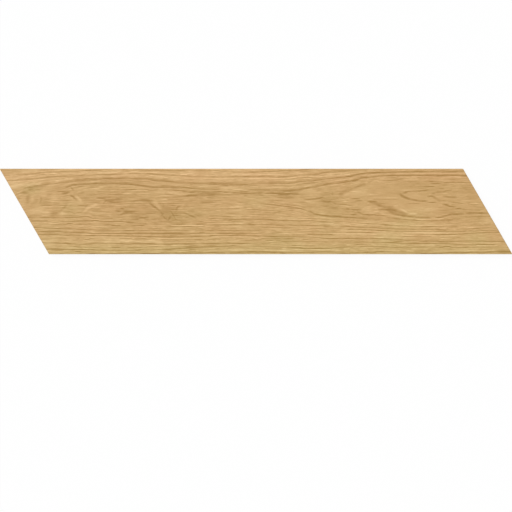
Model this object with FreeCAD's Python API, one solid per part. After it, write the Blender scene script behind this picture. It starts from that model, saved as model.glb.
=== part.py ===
"""Wood-look porcelain chevron tile: one pressed, printed and fired piece, lying face up.

The outline is a parallelogram. Its two ends are cut at a slant to the long edges, so that left-hand and
right-hand tiles meet in a chevron. A fine ground bevel runs round the printed face. The back has a plain
rim, and inside it a lattice of ribs between shallow drafted cells, which key the tile into its adhesive.

Frame: origin at the middle of the back, +X along the grain, +Y across it, +Z out of the printed face.
"""

import FreeCAD
import Part

import math
import os

# Format of the tile, in millimetres and degrees
TILE_LENGTH = 450.0     # tip to tip, along the grain
TILE_WIDTH = 75.0       # between the two long edges
TILE_THICKNESS = 9.0    # from the ribs of the back to the printed face
CUT_ANGLE = 60.0        # between a long edge and a cut end

# Bevel ground round the printed face
FACE_BEVEL = 0.6

# Keying lattice of the back
RIM_WIDTH = 6.0         # plain border, square to each edge
RIB_WIDTH = 3.0         # raised rib between two cells, at its top
CELL_WIDTH = 13.0       # least width of a cell at its mouth, square to its sides
CELL_DEPTH = 0.8        # recess of a cell's floor
CELL_DRAFT = 35.0       # slope of a cell's walls from the vertical, for release from the press

# What the slant of the cut does to lengths along X
LEAN = 1.0 / math.tan(math.radians(CUT_ANGLE))    # shift along X for each millimetre of Y
STRETCH = 1.0 / math.sin(math.radians(CUT_ANGLE))    # length along X of a millimetre square to a cut end
EDGE_LENGTH = TILE_LENGTH - TILE_WIDTH * LEAN    # one long edge


def slanted_corners(along, across, height):
    """Corners of a parallelogram in line with the tile, from its (low, high) spans along X and Y."""
    corners = []
    for x, y in ((0, 0), (1, 0), (1, 1), (0, 1)):
        corners.append(FreeCAD.Vector(along[x] - across[y] * LEAN, across[y], height))
    return corners


def flat_face(corners):
    """Plane face inside a closed ring of corners."""
    return Part.Face(Part.makePolygon(corners + corners[:1]))


def centred_span(length):
    """The (low, high) ends of a length about the middle of the tile."""
    return (-length / 2, length / 2)


def narrowed(span, by):
    """A span with the same amount taken off both ends."""
    return (span[0] + by, span[1] - by)


def even_spans(field, gap, least):
    """Fills a field with as many equal spans as fit, each at least so wide, with a gap between neighbours."""
    whole = field[1] - field[0]
    count = max(1, int((whole + gap) // (least + gap)))
    width = (whole - gap * (count - 1)) / count
    starts = [field[0] + i * (width + gap) for i in range(count)]
    return [(start, start + width) for start in starts]


def tile_blank():
    """The plain tile, with its printed face bevelled and its back still flat."""
    outline = slanted_corners(centred_span(EDGE_LENGTH), centred_span(TILE_WIDTH), 0.0)
    slab = flat_face(outline).extrude(FreeCAD.Vector(0, 0, TILE_THICKNESS))
    middle = TILE_THICKNESS / 2
    face_edges = [edge for edge in slab.Edges if edge.BoundBox.ZMin > middle]
    return slab.makeChamfer(FACE_BEVEL, face_edges)


def keying_cell(along, across):
    """One cell of the back, as the drafted solid that the press leaves empty."""
    inset = CELL_DEPTH * math.tan(math.radians(CELL_DRAFT))
    mouth = slanted_corners(along, across, 0.0)
    floor = slanted_corners(narrowed(along, inset * STRETCH), narrowed(across, inset), CELL_DEPTH)
    faces = [flat_face(mouth), flat_face(floor)]
    for i in range(len(mouth)):
        j = (i + 1) % len(mouth)
        faces.append(flat_face([mouth[i], mouth[j], floor[j], floor[i]]))
    return Part.makeSolid(Part.makeShell(faces))


def keying_cells():
    """Every cell of the back, in rows along the long edges and files along the cut ends."""
    length_field = narrowed(centred_span(EDGE_LENGTH), RIM_WIDTH * STRETCH)
    width_field = narrowed(centred_span(TILE_WIDTH), RIM_WIDTH)
    files = even_spans(length_field, RIB_WIDTH * STRETCH, CELL_WIDTH * STRETCH)
    rows = even_spans(width_field, RIB_WIDTH, CELL_WIDTH)
    return [keying_cell(along, across) for across in rows for along in files]


def chevron_tile():
    """The whole tile as one solid."""
    return tile_blank().cut(keying_cells()).Solids[0]


def main():
    os.makedirs("parts", exist_ok=True)
    tile = chevron_tile()
    tile.exportStep("parts/chevron_tile.step")
    box = tile.BoundBox
    print(f"chevron_tile: {box.XLength:.2f} x {box.YLength:.2f} x {box.ZLength:.2f} mm,"
          f" {tile.Volume / 1000:.2f} cm3, {len(tile.Faces)} faces, valid {tile.isValid()}")


main()
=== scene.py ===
"""Looks of a wood-look porcelain chevron tile, laid out as an add-on and run as a script.

The tile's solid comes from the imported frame. This script gives it its printed oak face, with the shallow
relief that follows the print, its ground sides and its keyed back, and sets the floor, light and camera.
"""

import math
from collections import namedtuple

import bmesh
import bpy
import numpy as np
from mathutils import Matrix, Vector


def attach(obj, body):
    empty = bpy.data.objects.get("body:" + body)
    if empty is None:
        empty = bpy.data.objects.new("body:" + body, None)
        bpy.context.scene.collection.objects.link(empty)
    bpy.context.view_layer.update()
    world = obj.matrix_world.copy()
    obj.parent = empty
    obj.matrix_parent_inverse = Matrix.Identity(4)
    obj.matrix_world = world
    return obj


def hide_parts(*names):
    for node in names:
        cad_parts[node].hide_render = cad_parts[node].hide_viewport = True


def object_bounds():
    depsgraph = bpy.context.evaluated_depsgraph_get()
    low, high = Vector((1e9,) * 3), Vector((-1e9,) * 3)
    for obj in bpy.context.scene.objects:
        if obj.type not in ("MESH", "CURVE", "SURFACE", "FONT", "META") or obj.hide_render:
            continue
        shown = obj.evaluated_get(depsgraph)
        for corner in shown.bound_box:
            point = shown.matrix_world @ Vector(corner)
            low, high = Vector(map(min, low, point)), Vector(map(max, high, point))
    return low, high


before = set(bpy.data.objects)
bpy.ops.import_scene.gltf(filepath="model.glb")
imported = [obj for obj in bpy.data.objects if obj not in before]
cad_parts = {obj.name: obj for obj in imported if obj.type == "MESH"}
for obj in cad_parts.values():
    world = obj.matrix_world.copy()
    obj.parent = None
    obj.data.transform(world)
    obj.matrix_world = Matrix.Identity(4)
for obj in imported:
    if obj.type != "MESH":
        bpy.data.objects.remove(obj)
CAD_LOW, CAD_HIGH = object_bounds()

TILE_NODE = "chevron_tile"

bl_info = {
    "name": "Chevron oak tile",
    "version": (1, 0, 0),
    "blender": (4, 5, 0),
    "location": "View3D > Sidebar > Chevron tile",
    "description": "Finishes a porcelain chevron tile with an oak print, and sets its stage",
    "category": "Object",
}

# The picture's grid, on which the figure of the print is drawn. Its columns run along the tile and its rows
# down it. A dot is the side of one cell in metres, and the middle of the tile lies at this column and row.
PICTURE_DOTS = 512
DOT = 0.0008772
TILE_COLUMN = 255.7
TILE_ROW = 210.95

# Growth lines of the print from the top edge down: the line's row in a board with straight grain, its half
# width, and points that give the column, the row and the strength of the ink
GROWTH_LINES = {
    "over the top edge": (158, 1, ((-10, 158, 0), (522, 158, 0))),
    "top line": (170, 1.1, (
        (-10, 176, 0.3), (12, 175, 0.3), (20, 174.2, 0.6), (30, 173.9, 0.6), (42, 172.2, 0.6),
        (52, 171.8, 0.5), (60, 171.1, 0.7), (79, 170.7, 0.6), (90, 169.9, 0.7), (115, 169.8, 0.6),
        (135, 169.5, 0.3), (152, 169.9, 0.6), (171, 170, 0.6), (185, 170.2, 0.5), (207, 170, 0.6),
        (235, 171.6, 0.4), (250, 171.7, 0.6), (270, 171, 0.8), (290, 170.3, 0.4), (318, 168.6, 0.4),
        (345, 169.9, 0.3), (400, 166, 0), (522, 164, 0))),
    "upper line": (175, 1.3, (
        (-10, 181.5, 0.6), (12, 179.8, 1), (27, 178.9, 1.1), (36, 178, 0.8), (45, 177, 0.8),
        (56, 176, 0.9), (70, 175.5, 0.5), (85, 174.8, 0.3), (97, 174.1, 0.8), (110, 173.9, 0.9),
        (122, 173.4, 0.4), (137, 173, 0.7), (150, 173.3, 0.8), (163, 174.2, 0.9), (180, 175.1, 0.6),
        (190, 175.8, 0.8), (207, 176.1, 0.7), (220, 176.4, 0.4), (232, 176.2, 0.8), (260, 176.1, 0.8),
        (288, 175.9, 0.9), (298, 174.5, 0.7), (309, 174.1, 0.8), (317, 174, 0.8), (322, 172.4, 0.6),
        (335, 171.2, 0.4), (346, 170.2, 0.4), (356, 169.4, 0.1), (375, 168.6, 0), (420, 167.5, 0),
        (522, 167, 0))),
    "outer arch": (181, 1.7, (
        (-10, 203, 0), (5, 196, 0), (15, 191.5, 0), (22, 188.4, 0.2), (27, 187, 0.6), (34, 185.4, 0.6),
        (44, 183.7, 0.7), (50, 183.1, 0.8), (55, 182.6, 0.65), (64, 181.5, 0.6), (72, 180.5, 0.6),
        (79, 179.8, 0.5), (88, 178.9, 0.5), (103, 178.4, 0.65), (112, 178, 0.8), (120, 177.7, 0.75),
        (127, 177.7, 0.5), (138, 178, 0.8), (147, 178.2, 0.9), (154, 179.8, 0.8), (165, 180.4, 0.8),
        (172, 181.2, 0.7), (182, 182.2, 0.5), (192, 182.8, 0.8), (215, 183.2, 0.55), (232, 183.7, 0.8),
        (243, 183.9, 0.9), (252, 182.7, 0.35), (270, 182.4, 0.5), (282, 182.4, 0.85), (292, 182.1, 0.6),
        (301, 180.6, 0.5), (312, 179.9, 0.65), (323, 178.5, 0.65), (335, 177.4, 0.8), (350, 175.9, 1),
        (357, 174.2, 0.7), (364, 173, 1), (380, 172.1, 1), (400, 171.5, 0.8), (418, 171.2, 0.9),
        (432, 171, 0.8), (450, 170.9, 0.8), (522, 170.8, 0.9))),
    "second arch": (187, 1.7, (
        (-10, 210, 0), (10, 202, 0), (25, 196.5, 0), (40, 192.5, 0), (55, 189.8, 0.1), (65, 187.4, 0.5),
        (70, 185.4, 0.8), (76, 184.4, 0.75), (88, 183.5, 0.75), (98, 183, 0.8), (108, 182.9, 0.8),
        (117, 183, 0.5), (124, 183.2, 0.75), (132, 184.1, 0.9), (140, 185, 0.9), (152, 186.3, 0.9),
        (168, 186.6, 0.75), (190, 187.3, 0.55), (203, 188.4, 0.25), (225, 189, 0.05), (250, 189.1, 0.1),
        (270, 189.3, 0.3), (288, 189.7, 0.5), (299, 189, 1), (308, 187.4, 0.8), (317, 186, 0.8),
        (324, 184.2, 1), (334, 182.8, 0.8), (343, 181.6, 0.8), (350, 180.6, 0.8), (356, 179.8, 1),
        (362, 177.4, 1), (368, 176.6, 0.8), (376, 175.8, 0.8), (384, 175.2, 0.7), (400, 174.9, 0.9),
        (430, 174.8, 0.8), (465, 174.9, 0.9), (522, 175, 0.9))),
    "valley line": (192, 1.1, (
        (-10, 216, 0), (10, 207, 0), (25, 202, 0), (40, 197.5, 0), (55, 194.5, 0), (66, 192.6, 0.2),
        (74, 191.2, 0.2), (82, 189.5, 0), (95, 188.6, 0), (120, 188.9, 0.4), (145, 189, 0.4),
        (170, 189.6, 0.5), (190, 190.6, 0.5), (207, 191, 0.2), (240, 191.8, 0.2), (275, 192.8, 0.3),
        (299, 193, 0.2), (320, 192, 0.1), (340, 190.9, 0.3), (347, 189.6, 0.1), (355, 187, 0.1),
        (364, 184, 0.1), (375, 182.3, 0), (400, 180.8, 0), (445, 181.5, 0.2), (463, 181.8, 0.4),
        (522, 183, 0.3))),
    "heart line": (204, 1.2, (
        (-10, 217, 0), (20, 211, 0), (40, 206, 0), (60, 205, 0), (110, 204, 0), (170, 203, 0),
        (205, 201.8, 0), (240, 202.4, 0), (265, 203.6, 0.2), (280, 205.3, 0.2), (300, 208.2, 0.2),
        (312, 212.4, 0.2), (320, 214.3, 0.4), (340, 216, 0.4), (358, 217.2, 0.3), (380, 218, 0.2),
        (400, 218.8, 0.2), (420, 219.8, 0.3), (438, 220.2, 0.3), (452, 219, 0.3), (470, 216.6, 0.4),
        (490, 216, 0.4), (522, 215.5, 0.3))),
    "under the heart": (218, 1, (
        (-10, 216.5, 0.5), (30, 216.8, 0.6), (45, 216.8, 0.5), (60, 217.1, 0.6), (75, 217, 0.6),
        (87, 216.3, 0.4), (98, 217.7, 0.3), (145, 218, 0.1), (205, 218.2, 0.3), (231, 219, 0.7),
        (252, 218.9, 1), (264, 219.3, 0.5), (278, 219.9, 0.9), (300, 220.5, 0.8), (325, 221, 0.4),
        (350, 221.8, 0.4), (363, 222.9, 0.6), (382, 223.9, 0.7), (411, 225.8, 0.6), (430, 226, 0.5),
        (452, 225.7, 0.6), (475, 224.2, 0.3), (522, 222.5, 0.3))),
    "first straight line": (222, 0.95, (
        (-10, 220.8, 0.6), (30, 220.9, 0.8), (50, 220.6, 0.5), (70, 220.9, 0.6), (92, 220.2, 0.6),
        (105, 220.9, 1), (122, 220.9, 1), (131, 221.8, 0.7), (150, 222.5, 0.1), (205, 223.4, 0.1),
        (235, 223.6, 0.2), (252, 223.9, 0.9), (273, 223.9, 0.7), (285, 224.6, 0.4), (312, 224.9, 0.8),
        (330, 225.8, 0.4), (352, 226.2, 0.7), (372, 227, 0.6), (396, 228.8, 0.5), (418, 229, 0.6),
        (430, 229, 0.7), (450, 229.3, 0.3), (480, 228.2, 0.3), (522, 227.5, 0.3))),
    "second straight line": (228.5, 0.95, (
        (-10, 226, 0.7), (35, 227, 0.8), (55, 228, 0.9), (70, 228.4, 0.7), (80, 228.9, 1),
        (95, 229.3, 0.5), (112, 229.9, 0.6), (124, 230, 0.8), (150, 229.9, 0.6), (178, 229.9, 0.7),
        (205, 229.8, 0.2), (222, 229.9, 0.9), (242, 229.9, 0.8), (280, 229.6, 0.2), (292, 229.8, 0.6),
        (310, 228.8, 0.2), (355, 229, 0.2), (380, 230, 0.9), (400, 231, 0.6), (430, 231, 0.6),
        (455, 231, 0.6), (480, 230, 0.4), (522, 229.5, 0.3))),
    "third straight line": (232.5, 0.95, (
        (-10, 230, 0.9), (36, 230.9, 1), (55, 231.1, 0.9), (72, 231.9, 1), (88, 232.8, 1),
        (118, 232.9, 0.9), (135, 232.9, 0.7), (155, 232.9, 1), (198, 232.8, 0.9), (215, 232.8, 0.6),
        (240, 232.9, 0.9), (255, 232.8, 0.7), (275, 232.2, 0.2), (300, 231.2, 0.4), (328, 231.5, 0.5),
        (342, 231.9, 0.9), (366, 231.9, 1), (380, 232.4, 0.2), (400, 233.2, 0.2), (420, 233.7, 0.7),
        (458, 233.8, 0.9), (472, 232.9, 0.6), (490, 232, 1), (522, 231.8, 0.8))),
    "fourth straight line": (236, 0.95, (
        (-10, 233.5, 0.9), (38, 233.9, 1), (58, 234.1, 0.9), (75, 234.8, 0.7), (105, 235, 0.9),
        (130, 235.2, 0.5), (150, 236, 0.9), (195, 236, 0.9), (215, 235.2, 0.8), (250, 235.1, 0.9),
        (268, 235.9, 1), (286, 236.1, 0.7), (312, 236.9, 0.4), (325, 237.9, 0.9), (346, 238, 1),
        (378, 238, 0.9), (396, 238.9, 0.9), (420, 240, 0.4), (445, 240.9, 0.7), (470, 240.4, 0.5),
        (490, 240.8, 1), (522, 240.9, 0.9))),
    "fifth straight line": (242.5, 1, (
        (-10, 242, 0.7), (42, 242.3, 0.8), (66, 242.9, 1), (82, 243.6, 0.7), (93, 242.8, 0.9),
        (110, 242.9, 1), (145, 243.1, 1), (165, 243.8, 0.8), (185, 243.4, 0.7), (215, 242.9, 0.8),
        (245, 242.8, 1), (256, 242.3, 0.2), (275, 241.5, 0.2), (310, 241, 0.6), (335, 241.8, 0.3),
        (376, 242, 0.6), (390, 242.1, 1), (404, 243, 1), (428, 243, 1), (445, 243, 0.6),
        (475, 244.2, 0.5), (522, 243.5, 0.3))),
    "sixth straight line": (248, 1, (
        (-10, 248, 0.8), (46, 248.7, 1), (62, 248.9, 1), (85, 249.1, 0.8), (105, 249.9, 0.6),
        (125, 249.9, 0.6), (145, 249.2, 0.5), (168, 248.9, 0.8), (180, 248, 0.9), (195, 246.9, 0.8),
        (215, 246.3, 1), (235, 245.6, 0.4), (260, 246.2, 0.2), (282, 246.9, 0.6), (300, 247.8, 0.9),
        (325, 247.9, 0.8), (345, 246.8, 0.3), (365, 246, 0.8), (400, 246.9, 0.7), (420, 247, 0.2),
        (455, 246.9, 0.7), (475, 247, 0.4), (522, 247.5, 0.3))),
    "bottom line": (252, 1.2, (
        (-10, 252.4, 0.3), (50, 252.6, 0.2), (85, 252.8, 0.1), (95, 252.8, 0.9), (102, 252.8, 0.4),
        (112, 252.8, 0.6), (122, 252.5, 0.7), (150, 252.8, 1), (190, 252.4, 0.8), (215, 252.2, 1),
        (235, 251.6, 0.9), (250, 251.2, 1), (275, 251.8, 1), (298, 252, 1), (325, 251.5, 1.1),
        (345, 252, 0.5), (362, 251.8, 0.9), (385, 251.2, 0.6), (405, 252.2, 0.2), (415, 252.6, 0.3),
        (422, 252.8, 0.9), (440, 252.7, 0.9), (450, 252, 0.9), (470, 252, 1), (503, 251.2, 1),
        (522, 251, 1))),
    "under the bottom edge": (262, 1, ((-10, 262, 0), (522, 262, 0))),
}

# Strokes of the figure, in groups: half width, tone, and the columns and rows that a stroke bends through.
# A tone below zero is darker than the wood round it. The taper is the length over which an end thins out.
FIGURE_STROKES = {
    "nose of the left heart": (
        (1.4, -0.6, ((24, 187.6), (28.5, 186.8))), (2.2, -0.46, ((29, 187.2), (36, 186), (47, 184.8))),
        (1.7, -0.6, ((20.5, 192.6), (28, 192.2))), (1, -0.75, ((34.5, 189.1), (40, 189))),
        (0.9, -0.65, ((32.3, 190.2), (34.4, 190))), (1.1, -0.45, ((17.5, 198.2), (20.8, 198.2))),
        (1, -0.55, ((20.5, 203.6), (22.2, 204.4)))),
    "eye": (
        (2.6, -0.4, ((28.6, 195), (27, 198), (27.6, 201.6))),
        (2.4, -0.24, ((31.6, 203), (36, 201.6), (36.8, 198))), (2.6, 0.34, ((32.2, 196.4), (32, 200.2))),
        (1.6, -0.42, ((40.6, 195.6), (40.9, 199.2), (39.6, 202.6))),
        (1, -0.45, ((40, 205), (51.5, 205)))),
    "swirl of the left heart": (
        (1.6, -0.8, ((62, 193.2), (66, 192.4), (69.6, 191.4))),
        (1, -0.6, ((57, 191.1), (63, 190.9), (71, 190.6))),
        (1.5, -0.75, ((65.5, 187.2), (68, 185.9), (70.5, 185.2), (76, 184.5))),
        (1.3, -1.05, ((70.2, 186.2), (72, 188.2), (73.2, 189.8))),
        (1.7, -0.82, ((70.2, 194.2), (73, 196.6), (76.2, 199.4))),
        (2, 0.75, ((75.6, 195.4), (78, 197.4), (80.4, 200.2))),
        (2, -0.5, ((66.2, 204.4), (63.5, 207.6), (59.5, 211))), (1.3, -1.2, ((77.8, 205), (85.2, 205))),
        (1.4, -0.7, ((84.6, 206.4), (87.8, 204.2))), (1.2, -0.8, ((71, 212), (75.2, 213.4))),
        (1.2, -0.6, ((76.4, 212), (82.2, 211.8))), (1, -0.35, ((75.3, 207.5), (80.2, 207.6))),
        (1, -0.4, ((50, 200), (60, 200.2), (71, 199.9))),
        (2.2, 0.6, ((84.4, 210.4), (87, 208), (91, 206), (96.4, 204))),
        (1.1, -0.55, ((84, 215.7), (89, 216.6), (95, 218.8)))),
    "middle of the left heart": (
        (1.1, -0.5, ((95.8, 198), (105, 197.9))), (1.2, -0.65, ((103, 203.2), (105.6, 200.2))),
        (1.1, 0.45, ((94.6, 197.4), (95.6, 199), (102.6, 199.3))),
        (1, -0.35, ((93.5, 201.9), (99.5, 201.6))), (1, -0.5, ((115, 198), (122, 198))),
        (1.1, -0.6, ((132.5, 200), (145, 200), (155, 199.9))), (1.1, -0.42, ((124, 203), (141.5, 202.8))),
        (1, -0.45, ((123.5, 205.8), (127, 207.4))), (1.3, -1, ((120.3, 208), (123.8, 208))),
        (1.3, -1.1, ((115.3, 211), (121.2, 211))), (1.5, -0.9, ((120.3, 214), (123.4, 213))),
        (2.2, -0.33, ((124, 212.4), (130, 211.2), (135, 211.6))),
        (1.5, -0.92, ((139.6, 217), (148.2, 217))),
        (1, -0.4, ((96, 191.3), (120, 191.2), (150.5, 191.4))), (1.1, 0.45, ((148, 189), (163.5, 189))),
        (1, 0.38, ((131, 190), (148, 190))), (1, 0.38, ((122.5, 193.3), (131.5, 193.2))),
        (1, 0.35, ((132, 204), (139, 204)))),
    "slash of the left heart": (
        (1.6, -0.85, ((149.3, 202.7), (153, 205.4), (156, 207.6), (159.4, 210))),
        (1.4, -0.8, ((160.3, 211.8), (162.6, 213.5), (161, 215.4))),
        (1.2, -0.52, ((162, 215), (165, 218), (167.8, 220.2))),
        (3.2, 0.4, ((153.8, 200.4), (157, 204), (159.6, 207.6))),
        (1.1, 0.42, ((160, 198.6), (167.2, 198.6))), (1.3, -0.6, ((162.4, 203.4), (163.4, 206.4))),
        (1.4, -0.95, ((168, 219.4), (169.4, 217.5), (170, 215.8))),
        (1.3, -0.48, ((170.4, 210.8), (173.2, 214.5), (175.5, 219.2))),
        (1.3, -0.8, ((176.4, 210.4), (175.8, 208.8), (177.4, 206.4), (181.4, 205.4))),
        (1.1, 0.55, ((178.4, 208.4), (183, 207.6))),
        (1.3, -0.58, ((183.4, 212.6), (188, 213.9), (191.6, 215.6), (195.6, 217.2))),
        (1.2, -0.8, ((184.4, 217.4), (187.6, 216.8))), (1, -0.48, ((151, 219), (158, 219)))),
    "tail of the left heart": (
        (1.8, 0.52, ((167, 192), (178, 192.9), (189.5, 193.2))),
        (1.6, -0.42, ((171.5, 196.4), (182, 196), (190, 195.6))),
        (1.5, -0.92, ((187.2, 195), (197.4, 194.8))), (1.1, -0.85, ((187.8, 191.8), (195.7, 191.7))),
        (1, -0.75, ((196.6, 192), (200.2, 192))), (2.4, -0.42, ((200.6, 202), (211.6, 202))),
        (1, -0.5, ((211, 202), (216.3, 202))), (1, -0.5, ((237, 201.8), (247.7, 202.8))),
        (1, -0.45, ((227.2, 208), (231.8, 208))), (1, -0.45, ((235.8, 208), (240.3, 208))),
        (1.1, 0.72, ((229, 206.6), (243.3, 206.6))), (1.1, 0.8, ((246, 208), (251.2, 208))),
        (1.1, 0.7, ((215.6, 210), (219.9, 210)))),
    "valley": (
        (1, -0.88, ((210.8, 191), (222.3, 191))), (1.1, -0.58, ((223, 191.6), (229.6, 192))),
        (1.2, -0.48, ((231.3, 192.4), (241.2, 192.8))), (1.2, -1.05, ((239.3, 191), (248.9, 191))),
        (1.3, -1, ((240, 192.9), (250, 193), (255.6, 192.6))), (1.2, -0.95, ((264.3, 193), (279.2, 193))),
        (2.1, -1.1, ((278.6, 193.6), (288.4, 193.6))), (1.6, -0.68, ((287.3, 193.2), (297.3, 193.2))),
        (1.2, -0.6, ((283.5, 190.7), (297.2, 190))), (1.1, -0.45, ((298.8, 197.1), (306.2, 197.6))),
        (1.4, -0.88, ((303.8, 199.3), (313, 198.6), (319, 197.8), (322.8, 196.5))),
        (1, -0.52, ((267.3, 200), (280.2, 200))),
        (1.3, -0.52, ((259.3, 202.7), (268, 203.8), (276.3, 204.2))),
        (1.2, -0.58, ((275.8, 205.3), (284, 205.8), (291.3, 206.5))),
        (1.2, -0.58, ((287.8, 207.5), (301.3, 208.1))), (1.1, -0.48, ((308.3, 209.8), (314.3, 213.2))),
        (1, -0.38, ((259.3, 210), (271.2, 210))), (1, -0.52, ((247, 211), (251.8, 211))),
        (1, -0.42, ((262.8, 212), (281.2, 212))), (1, -0.38, ((249.3, 213.8), (276.2, 213.8)))),
    "left of the right heart": (
        (1.4, -0.95, ((313.2, 213.9), (320.3, 214.3))),
        (1.8, -0.95, ((319.6, 214.8), (330, 215.6), (340.4, 216))),
        (1.2, -0.65, ((339.6, 216.9), (356.3, 217))),
        (3.8, -0.52, ((363.5, 183.8), (356, 186.4), (348, 189.4), (340.6, 193.4))),
        (1.6, -0.8, ((352.4, 180.2), (356, 179.2), (359.6, 178.4))),
        (1.5, -0.75, ((346, 176.2), (352, 175.8))), (1.3, -0.6, ((360.3, 177), (367.8, 176.8))),
        (1.2, -0.8, ((344.6, 180), (348, 180))), (1.3, -0.6, ((332, 191.3), (332.2, 195.2))),
        (1, 0.48, ((323.3, 191), (328.2, 191))), (1, 0.48, ((349.3, 191), (357.3, 191))),
        (1.1, 0.48, ((367.3, 194), (379.7, 194))), (1.2, 0.28, ((371, 197), (398, 197.2))),
        (1, -0.35, ((371, 199), (398, 199))), (1.3, -0.95, ((351, 198.1), (359.4, 198.2))),
        (1.2, -0.95, ((355, 200), (361.8, 200.2))), (1, -0.55, ((334.8, 198), (338.7, 197.1))),
        (1.2, -0.48, ((339.8, 196.7), (345.3, 198.5))), (1.6, -0.45, ((320.8, 199.3), (325.2, 200.7))),
        (1.6, -0.5, ((327.3, 201.9), (330.7, 200.3))), (1.3, -0.75, ((332.8, 202.6), (337.3, 203.4))),
        (1.2, -0.55, ((337, 203.4), (345, 204.2), (352.3, 205.3))),
        (1, -0.48, ((322.8, 206.1), (329.7, 205.3))), (1.2, -0.58, ((345.8, 207.5), (349.2, 209.1))),
        (1.4, -1.1, ((350.3, 209.2), (361, 209.2))), (1.1, 0.6, ((342.6, 201), (347.6, 201))),
        (1.1, 0.5, ((343.4, 206), (351.4, 206))), (1, -0.58, ((349.8, 211), (354.3, 211))),
        (1, -0.48, ((345.3, 210.5), (348.7, 212.5))), (1.3, -1, ((350.3, 214), (356, 214))),
        (1.6, -0.6, ((356.8, 210.6), (360, 212.6), (363.3, 213.9))),
        (1.3, -0.95, ((361.8, 214.1), (375.8, 214.2))), (1.1, -0.58, ((374.8, 215.2), (385.2, 215.2)))),
    "sweep of the right heart": (
        (1.5, -1.1, ((367.4, 201), (376.2, 201.1))),
        (3, -0.52, ((370.6, 202), (375.5, 203), (379.8, 205))),
        (1.2, -0.48, ((365.3, 204.9), (369.7, 204.3))), (1, -0.48, ((379.3, 203.3), (384.7, 203.2))),
        (1.6, -0.4, ((377.8, 205.1), (386, 206.4), (394.2, 206.4))),
        (1.4, -1, ((378.6, 209.2), (389.5, 209.3))),
        (2.6, -0.42, ((382.6, 207.4), (389, 208.2), (395.6, 209.4))),
        (3.4, -0.56, ((388.4, 209.6), (395, 210.8), (400.4, 212.6), (404.4, 214))),
        (2, -0.58, ((389.6, 211.5), (398, 214.6), (404.4, 215.5))),
        (1.4, -0.62, ((401.8, 215), (409, 216), (415.3, 216.4))),
        (1.5, -1.15, ((415.3, 216.8), (429.7, 216.9))), (1.1, -0.48, ((428.8, 216.4), (436.2, 216.2))),
        (1.5, -0.95, ((435.3, 216.8), (442.3, 216.7))),
        (1.5, -0.78, ((440.8, 216.1), (447, 215), (450.3, 214.3))),
        (1.7, -0.62, ((447.8, 214.2), (456, 213.6), (463.3, 213.3))),
        (1.6, -0.65, ((465.8, 212.6), (477, 212.4), (490, 212.8))),
        (1.4, 0.65, ((393.4, 205.7), (397.3, 205.3))),
        (1.6, 0.42, ((399.8, 208.4), (403.5, 210), (406.8, 212.2))),
        (1.6, 0.85, ((408.6, 213), (416.4, 213.2))), (1.2, 0.7, ((373, 208), (377.4, 208))),
        (1.2, 0.7, ((373.4, 211), (378.4, 211))), (1.1, 0.55, ((379.4, 214), (391.4, 214))),
        (1.3, 0.48, ((379.6, 212.5), (388, 214.2), (396, 215.8), (404, 217), (412.4, 218.2))),
        (1.2, 0.7, ((415.2, 219), (430.3, 219))), (1.1, 0.55, ((429.8, 218.8), (443.3, 217.9))),
        (1.2, -0.48, ((384.8, 216.7), (394, 217.8), (402.3, 218.9))),
        (1.1, -0.85, ((401.8, 219), (407.8, 219))), (1.1, -0.62, ((412.3, 219.4), (420.2, 220.2))),
        (1, -0.85, ((428.8, 221.2), (433.8, 220.8))), (1.6, -0.5, ((440.8, 219.6), (451.3, 219.2)))),
    "first vee": (
        (1.8, -1.1, ((403, 192.6), (406.4, 192))),
        (1.2, -0.74, ((404.8, 191.4), (412, 190.9), (420, 190.5), (428.4, 189.5))),
        (2.2, -0.95, ((400.6, 193.8), (401.6, 195.4), (404.4, 196.8), (408.3, 198.3))),
        (1.7, -0.9, ((407.8, 198.1), (413.5, 199.5), (419.3, 200.4))),
        (1.4, -0.95, ((418.8, 200.5), (427.3, 200.6))), (1.2, -1.05, ((427.6, 202), (435.8, 202))),
        (1.1, -0.48, ((406.3, 203), (420.2, 203)))),
    "second vee": (
        (1.3, -0.95, ((451, 189.9), (446.5, 190.2), (443, 191.1))),
        (1.2, -0.5, ((443, 191.1), (438, 191.6), (433.6, 192.2))),
        (1.7, -0.95, ((431.8, 193), (434.2, 193))), (1.4, -1, ((427.4, 195.8), (432, 195.8))),
        (2, -0.55, ((431.4, 195.1), (435, 197.6), (439.7, 200.1))),
        (1.1, -0.4, ((439.7, 200.2), (447.4, 200.2))),
        (1.9, -0.72, ((443, 196), (449, 196.6), (455.6, 197))), (1.1, 0.48, ((440.3, 193), (447.7, 193))),
        (1.6, -1.2, ((442.8, 204), (448, 204))), (1.4, -0.85, ((446, 204.7), (450, 206), (455, 206.6))),
        (1.3, -1.05, ((455, 208), (460.8, 208))), (1, -0.42, ((459.8, 208.6), (468.3, 209.2)))),
    "right end": (
        (1, -0.75, ((464.8, 195.8), (467.8, 196))),
        (1.1, -0.52, ((447.3, 200.7), (456, 202.1), (465.3, 203.6))),
        (1, -0.52, ((467.8, 204.3), (479.3, 204.2))), (1.1, 0.45, ((468.8, 203), (480.2, 203))),
        (1, -0.42, ((465.8, 209.3), (483.3, 209.2))), (1, -0.48, ((449.3, 212), (455.3, 212))),
        (1.1, -0.62, ((427.8, 181), (443.8, 181))), (1.2, -0.8, ((430, 183), (440.3, 183))),
        (1.1, -0.78, ((423, 186), (434.7, 186))), (1.1, -0.42, ((443.3, 182), (468.7, 182))),
        (1.1, -0.62, ((386.8, 180), (398.3, 180))), (1, -0.38, ((403.3, 181), (416.2, 181))),
        (1, -0.48, ((399.3, 178), (407.7, 178))), (1.2, -0.4, ((458.8, 185), (471.2, 185))),
        (1, -0.45, ((439.3, 188), (443.7, 188))),
        (1.2, 0.55, ((370.3, 182.5), (373, 180.8), (376.5, 179.9), (379.7, 181.8))),
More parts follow.
